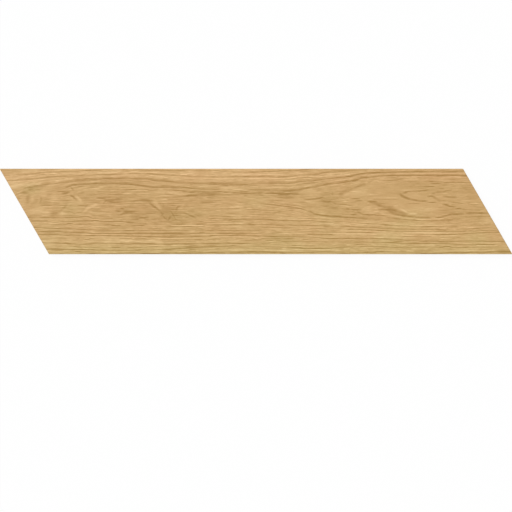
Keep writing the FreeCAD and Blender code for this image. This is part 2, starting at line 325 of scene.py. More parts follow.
        (1, 0.45, ((383.3, 183.2), (391.2, 183.1))), (1, 0.5, ((359.8, 172), (367.7, 172))),
        (1, 0.55, ((343.3, 174), (347.7, 174)))),
}
STROKE_TAPER = 4.0

# Short level dashes between the growth lines: left and right column, row and tone. All have the same half
# width and taper.
GRAIN_DASHES = {
    "upper third": (
        (28, 36, 174.6, 0.5), (44, 58, 173, 0.5), (72, 84, 173, 0.4), (36, 43, 179, 0.4),
        (180, 187, 174, 0.7), (164, 168, 177, 0.6), (204, 220, 178, 0.4), (231, 234, 178.4, 0.7),
        (231, 240, 174.6, 0.45), (240, 270, 173.6, 0.3), (248, 285, 178, 0.3), (284, 300, 180, 0.4),
        (291, 296, 177, 0.6), (303, 311, 178, 0.7), (308, 323, 176, 0.6), (314.5, 321, 181.4, 1.1),
        (232, 243, 189, 0.6), (256, 293, 187, 0.5), (343, 347, 179, 0.7), (350, 356, 173, 0.5),
        (380, 384, 178, 0.6), (328, 345, 184.6, 0.4), (98, 108, 184.2, -0.5), (119, 132, 184.3, -0.4),
        (220, 243, 185.2, -0.45)),
    "left third": (
        (91, 98, 220, -0.8), (66.5, 72.5, 223, -1.1), (63, 87, 224, -0.4), (111, 120, 225, -0.8),
        (131, 144, 225, -0.6), (168, 192, 226, -0.5), (119, 132, 238, -0.6), (134, 146, 238, -0.6),
        (84.5, 89.5, 239, -1), (84.5, 89, 238, 0.7), (131, 151, 239, -0.4), (160, 203, 239, -0.4),
        (79, 92, 244, -0.7), (73, 80, 246, -0.6), (146, 168, 246, -0.5), (84, 99, 247, -0.5),
        (111, 120, 247, -0.9), (131, 147, 247, -0.5), (74.5, 80.5, 251, -0.9), (188, 203, 251, -0.5),
        (51, 60, 221, 0.6), (48, 59, 223, 0.5), (171, 203, 225, 1.3), (59, 71, 226, 0.4),
        (139, 159, 229, 0.5), (160, 180, 228.5, 0.5), (89, 120, 231.8, 0.5), (81, 91, 234, 0.7),
        (95, 108, 234, 0.55), (190, 206, 234, 0.5), (155, 184, 238, 0.65), (120, 132, 239.6, 0.6),
        (104, 120, 241.8, 0.55), (124, 188, 245, 0.6), (135, 160, 251.9, 0.6), (104, 123, 221, -0.5)),
    "middle third": (
        (199, 203, 221, -0.9), (231, 243, 221, -0.5), (315, 330, 221, -0.4), (206, 228, 225, -0.4),
        (276, 284, 225, -0.6), (261, 283, 227, -0.5), (284, 292, 227, -0.5), (310, 327, 228, -0.5),
        (271, 276, 230, -0.5), (199, 204, 232, -0.8), (307, 332, 234, -0.85), (271, 280, 238, -0.85),
        (302, 308, 239, -0.7), (207, 220, 239, -0.5), (266, 273, 240, -1.2), (276, 280, 240, -0.6),
        (231, 236, 245, -0.5), (291, 296, 245, -0.65), (280, 283, 247, -0.8), (291, 301, 247, -0.9),
        (211, 223, 219, 0.5), (288, 311, 219, 0.7), (297, 318, 217, 0.7), (207, 243, 223, 0.65),
        (319, 333, 223, 0.7), (231, 243, 229, 0.5), (340, 361, 230, 0.75), (283, 300, 232.5, 0.4),
        (211, 240, 236, 0.6), (254.5, 261, 238, 0.9), (291, 330, 249, 1.1)),
    "right third": (
        (459, 480, 228, -0.4), (443, 446, 230, -0.6), (402, 431, 236, -0.6), (456, 460, 237, -0.6),
        (393, 404, 241, -0.6), (419, 427, 241, -0.6), (356, 371, 244, -0.5), (476, 494, 244, -0.5),
        (443, 450.5, 246, -1.2), (352, 381, 235, -0.35), (409, 437, 225, 0.6), (439, 446, 228, 0.6),
        (403, 452, 232, 0.6), (405, 448, 233, 0.4), (440, 460, 235.4, 0.9), (374, 400, 236.6, 0.45),
        (450, 471, 242.8, 0.5), (476, 500, 242.3, 0.45), (476, 497, 245, 1.1), (443, 450, 247.1, 0.9),
        (440, 452, 238, 0.6), (399, 406, 250.6, -0.6), (413, 433, 250.8, -0.5), (352, 373, 247, 0.5),
        (346, 368, 232, -1)),
}
DASH_HALF_WIDTH = 0.85
DASH_TAPER = 2.0

# Broad oval patches of paler or darker wood: column, row, half length, half width, degrees down to the
# right, and tone
WOOD_PATCHES = {
    "upper band": (
        (215, 174.5, 200, 9, 0, 0.18), (90, 171, 80, 5, 0, 0.16), (15, 179, 30, 11, -20, 0.2),
        (420, 172, 60, 5, 0, 0.12), (122, 181, 46, 4.5, 0, -0.18), (36, 188, 22, 4, -25, -0.06),
        (410, 184, 26, 5, 0, -0.14), (354, 178, 6, 8, 0, -0.09), (100, 171, 50, 2.5, 0, -0.04),
        (240, 171.5, 40, 2.5, 0, -0.07), (418, 171.5, 16, 2.5, 0, -0.07), (40, 177, 26, 7, -12, 0.1),
        (47, 182, 38, 3, -10, 0.24), (36, 171.5, 9, 2.5, 0, 0.13), (283, 180.5, 26, 3, -4, 0.13),
        (68, 185, 14, 3, -12, 0.12), (375, 175.5, 16, 2, -4, 0.11), (391, 180.5, 10, 3, 0, -0.12),
        (455, 176, 16, 3, 0, 0.1), (16, 185.5, 10, 4.5, 0, 0.18), (418, 177.4, 22, 1.8, 0, 0.08),
        (14, 171, 14, 1.6, 0, -0.12), (28, 182.3, 14, 2.4, -8, 0.1)),
    "left heart": (
        (65, 192.2, 6, 3, 0, -0.18), (43, 193, 6, 6, 0, 0.13), (53, 199, 6, 6, 0, 0.08),
        (38, 209.5, 14, 5, 0, 0.15), (45, 203, 9, 3.2, 0, -0.17), (30, 188.6, 5, 2.4, 0, -0.26),
        (25, 191.8, 5, 2.4, 0, -0.2), (53.5, 213.8, 9, 6, -25, -0.22), (61.5, 213.2, 6.5, 2.4, 0, 0.23),
        (80, 202, 5, 5, 0, 0.12), (140, 208, 70, 17, 0, -0.07), (158, 212, 50, 13, 0, -0.1),
        (110, 197, 44, 9, 0, -0.15), (109, 200.8, 7.5, 3, 8, -0.27), (127.5, 211.8, 8, 3, 0, -0.22),
        (136, 216.5, 8, 4.5, 0, -0.18), (143, 198.5, 9, 4.5, 0, -0.06), (169, 212.5, 14, 11, 0, -0.15),
        (192, 214, 12, 5, 0, -0.18), (149, 198, 10, 5, 0, -0.1), (28, 196.5, 8, 4, 0, -0.1),
        (160, 191.5, 20, 3, 0, 0.14), (60, 205, 8, 5, 0, -0.13), (97, 208, 8, 3.5, -15, -0.13),
        (120, 206, 8, 3, 0, -0.11), (22, 205, 6, 8, 0, 0.12), (191, 203, 12, 3.5, 0, -0.12),
        (57, 217, 8, 2.5, 0, -0.11), (142, 209, 8, 5, 0, 0.1)),
    "valley": (
        (240, 193.2, 64, 3.6, 0, -0.06), (204, 194, 34, 9, 0, -0.17), (283, 193.5, 18, 8, 0, -0.2),
        (211, 193.5, 14, 2.8, 0, -0.23), (258.5, 192.3, 5, 2.6, 0, -0.23), (290, 197, 13, 2, 0, -0.2),
        (205.5, 201.7, 8, 2, 0, -0.15), (250, 204, 40, 13, 0, 0.02), (231, 193.5, 12, 4, 0, -0.05),
        (232, 189, 26, 2.2, 2, 0.1), (207, 196.5, 8, 4, 0, 0.11), (250, 207, 8, 3, 0, 0.1)),
    "right heart": (
        (309, 191.5, 12, 4, 0, 0.09), (326, 193, 6, 2.8, 0, -0.18), (326.5, 201, 7, 3, 0, -0.19),
        (330, 203, 16, 13, 0, -0.15), (334, 207.5, 6, 3, 0, -0.17), (342, 208.5, 12, 3.5, 0, -0.09),
        (358, 191, 20, 8, 0, 0.15), (362, 217.5, 26, 2.8, 3, -0.12), (367, 208.5, 10, 5, 25, 0.15),
        (402, 207, 14, 4, 35, 0.08), (421, 208, 20, 7, 0, 0.09), (435, 187, 36, 13, 0, -0.08),
        (388, 208, 20, 6, 35, -0.1), (399.5, 194, 4, 3.5, 0, -0.13), (313, 212, 8, 4, 0, -0.12),
        (395, 191, 14, 6, 0, -0.07), (415, 195, 8, 3.5, 0, 0.09), (345, 215.5, 46, 4, 5, -0.04),
        (468, 212, 34, 8, 0, -0.1), (447, 209, 12, 7, 0, -0.1), (468, 190, 12, 6, 0, -0.17),
        (473, 197.5, 10, 3.6, 0, -0.18), (345, 193, 6, 3, 0, 0.15), (357, 205, 7, 3, 0, 0.11),
        (387, 206.5, 5, 3, 35, 0.1), (356, 212, 8, 3.5, 0, -0.19), (430, 218.5, 16, 2.2, 0, -0.11)),
    "straight grain": (
        (390, 223.5, 110, 3.8, 1, 0.13), (487, 222, 14, 5, 0, 0.14), (50, 232.5, 17, 4, 0, -0.14),
        (165, 233.5, 44, 3.5, 0, -0.14), (232, 232.5, 22, 4, 0, -0.12), (285, 237.5, 26, 5, 0, -0.12),
        (343, 233.5, 13, 4, 0, 0.19), (178, 220.5, 30, 3.5, 0, -0.13), (405, 221, 11, 3.5, 0, -0.2),
        (440, 220, 14, 2.5, 0, -0.15), (32, 218.5, 8, 3, 0, -0.15), (266, 231.5, 9, 4, 0, 0.12),
        (112, 228, 16, 4, 0, 0.08), (78, 250.5, 14, 3, 0, -0.15), (138, 251, 20, 2.5, 0, -0.12),
        (180, 249, 9, 3, 0, -0.17), (421, 250.5, 14, 3, 0, -0.17), (390, 233, 75, 4.2, 0, 0.17),
        (140, 240, 125, 4, 0, 0.08), (115, 226, 95, 10, 0, -0.07), (46, 241, 11, 8, 0, 0.12),
        (449, 241, 20, 2.4, 0, -0.06), (410, 240.5, 75, 4, 0, -0.03), (190, 246.5, 17, 4, 0, -0.18),
        (238, 249, 16, 2.6, 0, 0.14), (285, 250, 22, 3, 0, 0.1), (336, 250, 14, 3, 0, 0.1),
        (465, 250, 18, 3, 0, 0.12), (505, 250.5, 14, 3, 0, -0.19), (279, 229.5, 6, 2.4, 0, 0.19),
        (295, 230, 20, 4, 0, 0.14), (75, 221, 45, 5, 0, 0.1), (182, 225, 26, 7, 0, -0.1),
        (322, 221, 14, 2.5, 0, 0.12), (160, 221.5, 14, 2.5, 0, -0.11), (398, 232, 8, 3, 0, -0.1),
        (166, 231, 10, 3, 0, 0.1), (435, 236, 22, 3.5, 0, 0.11), (123, 241.5, 14, 2.5, 0, 0.1),
        (478, 239.5, 12, 2.5, 0, -0.13), (299, 251.5, 10, 2.5, 0, 0.12), (187, 225, 18, 1.6, 0, 0.2),
        (125, 240.8, 34, 1.8, 0, 0.18), (85, 226, 32, 2, 0, 0.12)),
}

# Cast of the print, in patches of the same kind: how much greener the wood is than plain wood, or rosier
# where that is below zero. A cast of 0 is the rosiest, and 1 is the greenest.
CAST_PATCHES = (
    (256, 175, 800, 12, 0, -0.19), (436, 176, 50, 8, 0, -0.12), (256, 260, 800, 27, 0, 0.82),
    (31, 189, 15, 10, 0, 0.45), (50, 232, 22, 16, 0, 0.2), (72, 206, 20, 14, 0, 0.25),
    (187, 215, 28, 10, 0, 0.3), (258, 200, 20, 11, 0, 0.22), (328, 212, 20, 36, 0, 0.26),
    (410, 214, 30, 10, 0, 0.14), (400, 226, 44, 15, -32, 0.34), (285, 238, 30, 13, 0, 0.32),
    (478, 238, 20, 13, 0, 0.38), (392, 240, 34, 10, 0, 0.16), (130, 208, 60, 26, 0, -0.08),
)
PLAIN_CAST = 0.40

# Smooth places, in patches of the same kind: the share of the hair lines and fine textures that is missing.
# The textures keep at least the share that stands after the patches.
SMOOTH_PATCHES = (
    (400, 199, 64, 22, 0, 0.95), (352, 193, 15, 7, 0, 0.7), (309, 192, 13, 6, 0, 0.8),
    (35, 202, 20, 14, 0, 0.85), (50, 192, 15, 8, 0, 0.5), (77, 203, 11, 14, 0, 0.7),
    (156, 200, 7, 11, 0, 0.6), (165, 212, 15, 10, 0, 0.7), (235, 199, 33, 7, 0, 0.6),
    (197, 205, 15, 8, 0, 0.5), (290, 201, 13, 4, 0, 0.6), (328, 209, 15, 5, 0, 0.6),
    (478, 198, 13, 14, 0, 0.4), (158, 183, 40, 6, 0, 0.5), (143, 210, 16, 6, 0, 0.75),
    (178, 196, 18, 5, 0, 0.65), (206, 203, 16, 6, 0, 0.4), (88, 210, 14, 6, 0, 0.4),
)
LEAST_TEXTURE = 0.2

# Hair lines between the growth lines, dark and pale by turns, from a seeded draw: the rows between which
# they lie, their spacing, and the share of it by which a line may lie off its place
HAIR_SEED = 11
HAIR_ROWS = (166.0, 256.0)
HAIR_SPACING = 0.95
HAIR_SHIFT = 0.5

# A hair line's strength swings from its first column on, so many times and so far apart. Then come its half
# width, its tone, how sharply it sets in, and the stretch of the straightened board at which it is gone.
HAIR_START = -40
HAIR_SWINGS = 120
HAIR_GAPS = (3.0, 11.0)
HAIR_HALF_WIDTHS = (0.48, 0.72)
HAIR_TONES = (-0.66, 0.50)
HAIR_EDGE = 2.2
HAIR_STRETCH = 2.0

# Every drawn line has flanks of the opposite tone: how far they reach past its half width, and their share
FLANK_REACH = 1.0
FLANK_SHARE = 0.32

# Strength of the lines and of the patches, and the tones at which the darkest and the palest ink level off
INK_STRENGTH = 1.4
PATCH_STRENGTH = 1.7
DEEPEST_TONE = 1.1
PALEST_TONE = 0.7

# A noise texture: the size of its cell, the slice of the noise that it is cut from, its detail and its
# roughness, and how much it changes the tone and lifts the surface
Texture = namedtuple("Texture", "cell slice detail roughness tone bump", defaults=(0.5, 0.0, 0.0))

# Textures of the print, with cells in dots along and across the grain
FIBRE = Texture((12, 0.6, 1), 0.0, 2, roughness=0.6, tone=1.7, bump=-0.4)
GRIT = Texture((4, 0.6, 1), 23.7, 1, tone=0.6)
STREAKS = Texture((40, 1.1, 1), 3.1, 2, tone=0.8)
PORES = Texture((5, 0.4, 1), 11.3, 1, tone=-0.15, bump=-1.0)
BREAKS = Texture((9, 1.8, 1), 5.9, 1)
CLOUDS = Texture((30, 14, 1), 17.1, 1)

# Textures of the fired body, with cells in metres. The marks of grinding are long and low.
BODY_CLOUDS = Texture((0.0143, 0.0143, 0.0143), 0.0, 2, tone=0.6)
BODY_GRAIN = Texture((0.000625, 0.000625, 0.000625), 0.0, 2, roughness=0.6, tone=0.7, bump=0.6)
GRINDING = Texture((0.0111, 0.0111, 0.0002), 0.0, 2, roughness=0.6, tone=0.5, bump=0.4)
SPECKS = Texture((0.00111, 0.00111, 0.00111), 31.7, 1, tone=-0.25, bump=-1.0)

# Middle of a noise, of a ramp of colours and of a side of the tile
MIDDLE = 0.5

# Levels of a noise between which what it marks sets in, and the shares that it then goes between where
# these aren't 0 and 1
PORE_EDGE = (0.60, 0.72)
BREAK_EDGE = (0.30, 0.65)
BREAK_INK = (0.75, 1.15)
CLOUD_EDGE = (0.3, 0.7)
CLOUD_CAST = 0.16
SPECK_EDGE = (0.64, 0.70)
COAT_GRAIN = (0.25, 0.5, 0.5, 1.0)
WASH_GRAIN = (0.3, 0.55)
WASH_CLOUDS = (0.35, 0.6, 0.25, 0.85)

# Casts of the print and shades of the body, as factors of a colour
ROSY = (1.025, 0.945, 0.97)
LEAFY = (0.975, 1.055, 1.02)
BODY_DARK = 0.72
BODY_PALE = 1.22

# What a full mark of each kind adds to the roughness
PORE_ROUGHNESS = 0.15
FIBRE_ROUGHNESS = -0.1
GRAIN_ROUGHNESS = 0.1
WASH_ROUGHNESS = 0.1
COAT_ROUGHNESS = -0.12

# Bumps of the print and of the body: the height of a full mark in metres, and the strength of each
BUMP_HEIGHT = 0.0001
PRINT_BUMP = 0.25
BODY_BUMP = 0.35

# Half of the height over which the coat's foot fades, and the heights between which the kiln wash does
COAT_FADE = 0.0001
WASH_FADE = (0.00012, 0.00002)

# The tile's own map: left, foot, width and height of a part's box on the map, then the side of the tile
# that runs along the box and the shares of it that lie there, and the side that runs up the box
ALONG, ACROSS, UP = range(3)
MAP_NAME = "OFBake"
MAP_BOXES = {
    "left print": ((0.01, 0.010, 0.98, 0.315), (ALONG, 0.0, MIDDLE), ACROSS),
    "right print": ((0.01, 0.345, 0.98, 0.315), (ALONG, MIDDLE, 1.0), ACROSS),
    "back": ((0.01, 0.680, 0.98, 0.170), (ALONG, 0.0, 1.0), ACROSS),
    "lower side": ((0.01, 0.865, 0.98, 0.030), (ALONG, 0.0, 1.0), UP),
    "upper side": ((0.01, 0.910, 0.98, 0.030), (ALONG, 0.0, 1.0), UP),
    "left end": ((0.01, 0.955, 0.48, 0.035), (ACROSS, 0.0, 1.0), UP),
    "right end": ((0.51, 0.955, 0.48, 0.035), (ACROSS, 0.0, 1.0), UP),
}

# Places of the tile's two materials on its mesh
PRINT, BODY = range(2)

# How upright a face's normal is where the sides end, and where the printed face itself begins
SIDE_SLOPE = 0.3
FACE_SLOPE = 0.99

# Share of the thickness that holds the keying cells, angle of edges in a flat face, and least distances
BACK_SHARE = 1 / 6
FLAT_ANGLE = 0.01
MERGE_DISTANCE = 1e-6
FLOOR_GAP = 0.0001

WHITE = (1, 1, 1, 1)
PALE_FLOOR = (0.95, 0.95, 0.95, 1)

# Numbers of the sockets through which a Mix node mixes colours
MIX_SHARE, MIX_FIRST, MIX_SECOND = 0, 6, 7
MIX_RESULT = 2


def from_screen(red, green, blue):
    """Linear colour of a colour as a screen shows it, from 0 to 255, by the curve of sRGB."""
    shares = [level / 255 for level in (red, green, blue)]
    return tuple(s / 12.92 if s <= 0.04045 else ((s + 0.055) / 1.055) ** 2.4 for s in shares)


class Value:
    """A socket of a node tree. Python's operators on it add Math nodes."""

    def __init__(self, nodes, socket):
        self.nodes = nodes
        self.socket = socket

    def math(self, operation, other):
        return self.nodes.add("ShaderNodeMath", {"operation": operation}, {0: self, 1: other})

    def reflected(self, operation, other):
        return self.nodes.add("ShaderNodeMath", {"operation": operation}, {0: other, 1: self})

    def __add__(self, other):
        return self.math("ADD", other)

    def __sub__(self, other):
        return self.math("SUBTRACT", other)

    def __mul__(self, other):
        return self.math("MULTIPLY", other)

    def __truediv__(self, other):
        return self.math("DIVIDE", other)

    def __radd__(self, other):
        return self.reflected("ADD", other)

    def __rsub__(self, other):
        return self.reflected("SUBTRACT", other)

    def __rmul__(self, other):
        return self.reflected("MULTIPLY", other)

    def __rtruediv__(self, other):
        return self.reflected("DIVIDE", other)

    def between(self, low, high, start=0.0, end=1.0):
        """Smooth step from start at low to end at high."""
        sockets = {"Value": self, "From Min": low, "From Max": high, "To Min": start, "To Max": end}
        return self.nodes.add("ShaderNodeMapRange", {"interpolation_type": "SMOOTHSTEP"}, sockets)


class Nodes:
    """A material's or world's node tree, to which nodes are added one by one."""

    def __init__(self, tree):
        self.tree = tree
        self.tree.nodes.clear()

    def add(self, kind, settings=None, sockets=None, output=0):
        """Adds a node, with its settings first, then its sockets' values or links. Returns one output."""
        node = self.tree.nodes.new(kind)
        for name, setting in (settings or {}).items():
            if name == "stops":
                self.set_stops(node.color_ramp.elements, setting)
            else:
                setattr(node, name, setting)
        for key, value in (sockets or {}).items():
            if isinstance(value, Value):
                self.tree.links.new(value.socket, node.inputs[key])
            else:
                node.inputs[key].default_value = value
        return Value(self, node.outputs[output] if len(node.outputs) else None)

    @staticmethod
    def set_stops(elements, stops):
        while len(elements) < len(stops):
            elements.new(1.0)
        for element, (position, colour) in zip(elements, stops):
            element.position = position
            element.color = (*colour, 1.0)

    def place(self, axes="XYZ"):
        """Object coordinates along the named axes, each as a value in metres."""
        place = self.add("ShaderNodeTexCoord", output="Object")
        return [self.add("ShaderNodeSeparateXYZ", None, {0: place}, axis) for axis in axes]

    def attribute(self, name):
        return self.add("ShaderNodeAttribute", {"attribute_name": name}, None, "Fac")

    def noise(self, texture, x, y, z):
        """A texture's noise from 0 to 1, at a place in the unit of its cells."""
        cell = texture.cell
        spot = {0: x / cell[0], 1: y / cell[1], 2: z / cell[2] + texture.slice}
        sockets = {"Vector": self.add("ShaderNodeCombineXYZ", None, spot), "Scale": 1.0,
                   "Detail": texture.detail, "Roughness": texture.roughness}
        return self.add("ShaderNodeTexNoise", {"noise_dimensions": "3D"}, sockets, "Fac")

    def ramp(self, share, colours):
        """Colour at a share of the way through evenly spaced colours."""
        stops = [(number / (len(colours) - 1), colour) for number, colour in enumerate(colours)]
        return self.add("ShaderNodeValToRGB", {"stops": stops}, {"Fac": share}, "Color")

    def mix_colours(self, share, first, second):
        sockets = {MIX_SHARE: share, MIX_FIRST: first, MIX_SECOND: second}
        return self.add("ShaderNodeMix", {"data_type": "RGBA"}, sockets, MIX_RESULT)

    def seen_directly(self):
        """1 for what the camera sees, also in a mirror or through glass, and 0 for light on its way."""
        kinds = ("Is Camera Ray", "Is Glossy Ray", "Is Transmission Ray")
        camera, glossy, through = [self.add("ShaderNodeLightPath", output=kind) for kind in kinds]
        return camera.math("MAXIMUM", glossy).math("MAXIMUM", through)

    def surface(self, colour, roughness, height, strength):
        """Ends a material in one Principled shader, with a bump."""
        bump = {"Height": height, "Strength": strength, "Distance": BUMP_HEIGHT}
        normal = self.add("ShaderNodeBump", None, bump)
        sockets = {"Base Color": colour, "Roughness": roughness, "Normal": normal}
        shader = self.add("ShaderNodeBsdfPrincipled", None, sockets)
        self.add("ShaderNodeOutputMaterial", None, {"Surface": shader})


def smooth_curve(places, heights, at):
    """Height, at each of many places, of a smooth curve through points, and level beyond its ends."""
    places = np.array(places, float)
    heights = np.array(heights, float)
    slopes = np.gradient(heights, places)
    first = np.clip(np.searchsorted(places, at) - 1, 0, len(places) - 2)
    gap = places[first + 1] - places[first]
    t = np.clip((at - places[first]) / gap, 0, 1)
    ease = t * t * (3 - 2 * t)
    rise = slopes[first] * gap * t * (1 - t) ** 2 - slopes[first + 1] * gap * t * t * (1 - t)
    return heights[first] * (1 - ease) + heights[first + 1] * ease + rise


def swelling(distance):
    """Soft bump: 1 at no distance, and 0 from a distance of 1."""
    return np.clip(1 - distance * distance, 0, None) ** 2


def line_profile(distance, half_width):
    """Strength of the ink across a drawn line, below zero on its flanks."""
    return swelling(distance / half_width) - swelling(distance / (half_width + FLANK_REACH)) * FLANK_SHARE


def growth_lines(column, row):
    """Draws the growth lines.

    Returns their ink, the row of each place in the straightened board, and the rows of the print that one
    row of the straightened board takes up there.
    """
    ink = np.zeros_like(row)
    lines = []
    for level, half_width, points in GROWTH_LINES.values():
        columns, rows, strengths = zip(*points)
        line = smooth_curve(columns, rows, column)
        ink += smooth_curve(columns, strengths, column) * line_profile(row - line, half_width)
        lines.append((level, line))
    straight = np.full_like(row, lines[0][0])
    stretch = np.ones_like(row)
    for (upper_level, upper), (lower_level, lower) in zip(lines[:-1], lines[1:]):
        share = (row - upper) / (lower - upper)
        straight += np.clip(share, 0, 1) * (lower_level - upper_level)
        inside = (share > 0) & (share <= 1)
        stretch = np.where(inside, (lower - upper) / (lower_level - upper_level), stretch)
    return ink, straight, stretch


def drawn_strokes(column, row):
    """Tone that the strokes of the figure and the dashes between the growth lines add."""
    tone = np.zeros_like(row)
    for group in FIGURE_STROKES.values():
        for half_width, depth, points in group:
            add_stroke(tone, depth, np.array(points, float), half_width, STROKE_TAPER, column, row)
    for group in GRAIN_DASHES.values():
        for left, right, level, depth in group:
            points = np.array(((left, level), (right, level)), float)
            add_stroke(tone, depth, points, DASH_HALF_WIDTH, DASH_TAPER, column, row)
    return tone


def add_stroke(tone, depth, points, half_width, taper, column, row):
    """Adds a bent stroke to the tone near it. It thins out over the taper's length at both ends."""
    low = points.min(axis=0) - half_width - FLANK_REACH
    high = points.max(axis=0) + half_width + FLANK_REACH
    inside = (column > low[0]) & (column < high[0]) & (row > low[1]) & (row < high[1])
    near = np.flatnonzero(inside)
    lengths = np.hypot(*(points[1:] - points[:-1]).T)
    walked = 0.0
    nearest = np.full(len(near), np.inf)
    to_end = np.zeros(len(near))
    for first, last, length in zip(points[:-1], points[1:], lengths):
        step = (last - first) / length
        x = column[near] - first[0]
        y = row[near] - first[1]
        along = np.clip(x * step[0] + y * step[1], 0, length)
        distance = np.hypot(x - along * step[0], y - along * step[1])
        closer = distance < nearest
        nearest = np.where(closer, distance, nearest)
        to_end = np.where(closer, np.minimum(walked + along, lengths.sum() - walked - along), to_end)
        walked += length
    thinning = np.clip((to_end + half_width) / taper, 0, 1)
    tone[near] += depth * line_profile(nearest, half_width) * thinning


def drawn_patches(patches, column, row):
    """Sum of oval patches that fade towards their rims."""
    depth = np.zeros_like(row)
    for x, y, half_length, half_width, degrees, deepest in patches:
        turn = math.radians(degrees)
        along = (column - x) * math.cos(turn) + (row - y) * math.sin(turn)
        across = (row - y) * math.cos(turn) - (column - x) * math.sin(turn)
        depth += deepest * swelling(np.hypot(along / half_length, across / half_width))
    return depth


def hair_lines(column, straight, stretch):
    """Tone of the hair lines, which follow the straightened board and fade where it is stretched."""
    draw = np.random.default_rng(HAIR_SEED)
    tone = np.zeros_like(straight)
    for number, level in enumerate(np.arange(*HAIR_ROWS, HAIR_SPACING)):
        level += draw.uniform(-HAIR_SHIFT, HAIR_SHIFT) * HAIR_SPACING
        half_width = draw.uniform(*HAIR_HALF_WIDTHS)
        places = np.cumsum(draw.uniform(*HAIR_GAPS, HAIR_SWINGS)) + HAIR_START
        swings = np.interp(column, places, draw.uniform(-1, 1, HAIR_SWINGS))
        strength = np.clip(swings * HAIR_EDGE, 0, 1)
        depth = HAIR_TONES[number % len(HAIR_TONES)]
        tone += depth * strength * swelling((straight - level) / half_width)
    return tone * np.clip(HAIR_STRETCH - stretch, 0, 1)


def soft_limit(tone):
    """Levels off both ends, so that strokes that cross stay within the darkest and the palest ink."""
    limit = np.where(tone < 0, DEEPEST_TONE, PALEST_TONE)
    return np.tanh(tone / limit) * limit


def drawn_grain(column, row):
    """Everything drawn of the print at the given places, under the names by which the print reads it."""
    ink, straight, stretch = growth_lines(column, row)
    fineness = np.clip(1 - drawn_patches(SMOOTH_PATCHES, column, row), 0, 1)
    lines = (drawn_strokes(column, row) - ink) * INK_STRENGTH
    patches = [patch for group in WOOD_PATCHES.values() for patch in group]
    return {
        "grain_tone": soft_limit(lines + hair_lines(column, straight, stretch) * fineness),
        "grain_shade": drawn_patches(patches, column, row) * PATCH_STRENGTH,
        "grain_row": straight,
        "grain_fineness": LEAST_TEXTURE + (1 - LEAST_TEXTURE) * fineness,
        "grain_cast": PLAIN_CAST + drawn_patches(CAST_PATCHES, column, row),
    }


class ChevronTileFinish(bpy.types.PropertyGroup):
    """Sizes, colours and gloss of the tile's finish."""

    step_along: bpy.props.FloatProperty(
        name="Step along", description="Length of a mesh cell of the printed face, along the grain",
        default=0.00115, unit="LENGTH")
    step_across: bpy.props.FloatProperty(
        name="Step across", description="Width of a mesh cell of the printed face, across the grain",
        default=0.00034, unit="LENGTH")
    relief: bpy.props.FloatProperty(
        name="Relief", description="Depth of the darkest grain under the printed face",
        default=0.00006, unit="LENGTH")
    wood: bpy.props.FloatVectorProperty(
        name="Wood", description="Middle colour of the oak print", subtype="COLOR",
        default=from_screen(195.3, 157.2, 98.8))
    wood_dark: bpy.props.FloatVectorProperty(
        name="Dark grain", description="Darkest colour of the oak print", subtype="COLOR",
        default=from_screen(158, 120, 53.5))
    wood_pale: bpy.props.FloatVectorProperty(
        name="Pale grain", description="Palest colour of the oak print", subtype="COLOR",
        default=from_screen(229, 194.3, 138))
    contrast: bpy.props.FloatProperty(
        name="Contrast", description="Share of the way from dark to pale that one step of tone takes",
        default=0.57)
    level: bpy.props.FloatProperty(
        name="Level", description="Share of the way from dark to pale at which the print has no tone",
        default=0.513, subtype="FACTOR")
    print_roughness: bpy.props.FloatProperty(
        name="Print roughness", description="Roughness of the matte glaze over the print",
        default=0.52, subtype="FACTOR")
    body: bpy.props.FloatVectorProperty(
        name="Body", description="Colour of the fired porcelain body", subtype="COLOR",
        default=from_screen(206, 191, 168))
    body_roughness: bpy.props.FloatProperty(
        name="Body roughness", description="Roughness of the unglazed body",
        default=0.78, subtype="FACTOR")
    coat: bpy.props.FloatVectorProperty(
        name="Coat", description="Colour of the pale coat under the print", subtype="COLOR",
        default=from_screen(232, 222, 203))
    coat_depth: bpy.props.FloatProperty(
        name="Coat depth", description="How far the coat reaches down the sides from the printed face",
        default=0.00095, unit="LENGTH")
    wash: bpy.props.FloatVectorProperty(
        name="Kiln wash", description="Colour of the kiln wash left on the ribs of the back",
        subtype="COLOR", default=from_screen(238, 235, 228))


class ChevronTileStage(bpy.types.PropertyGroup):
    """Floor, light and camera."""

    floor_size: bpy.props.FloatProperty(
        name="Floor size", description="Side of the square floor", default=16.0, unit="LENGTH")
    floor_shading: bpy.props.FloatProperty(
        name="Floor shading", description="Share of light and shadow that shows on the white floor",
        default=0.07, subtype="FACTOR")
    picture_width: bpy.props.FloatProperty(
        name="Picture width", description="Width of the picture at the printed face",
        default=PICTURE_DOTS * DOT, unit="LENGTH")
    camera_offset: bpy.props.FloatProperty(
        name="Camera offset", description="How far the camera stands from the middle of the tile, along Y",
        default=-0.03908, unit="LENGTH")
    lens: bpy.props.FloatProperty(
        name="Lens", description="Focal length of the camera", default=200.0, unit="CAMERA")
    sky: bpy.props.FloatProperty(
        name="Sky", description="Share of the light that comes from all round",
        default=0.62, subtype="FACTOR")
    sun: bpy.props.FloatVectorProperty(
        name="Sun", description="Direction towards the key light", subtype="DIRECTION",
        default=(-0.38, 0.30, 0.875))
    sun_spread: bpy.props.FloatProperty(
        name="Sun spread", description="Angle over which the key light is spread, which softens shadows",
        default=math.radians(30), unit="ROTATION")


def new_material(name):
    """A material, and its node tree to be filled."""
    material = bpy.data.materials.new(name)
    material.use_nodes = True
    return material, Nodes(material.node_tree)


def finished_mesh(name, shape):
    """Mesh of a bmesh, which is freed."""
    mesh = bpy.data.meshes.new(name)
    shape.to_mesh(mesh)
    shape.free()
    return mesh


def in_scene(context, name, data):
    """New object at the origin of the scene."""
    item = bpy.data.objects.new(name, data)
    context.scene.collection.objects.link(item)
    return item


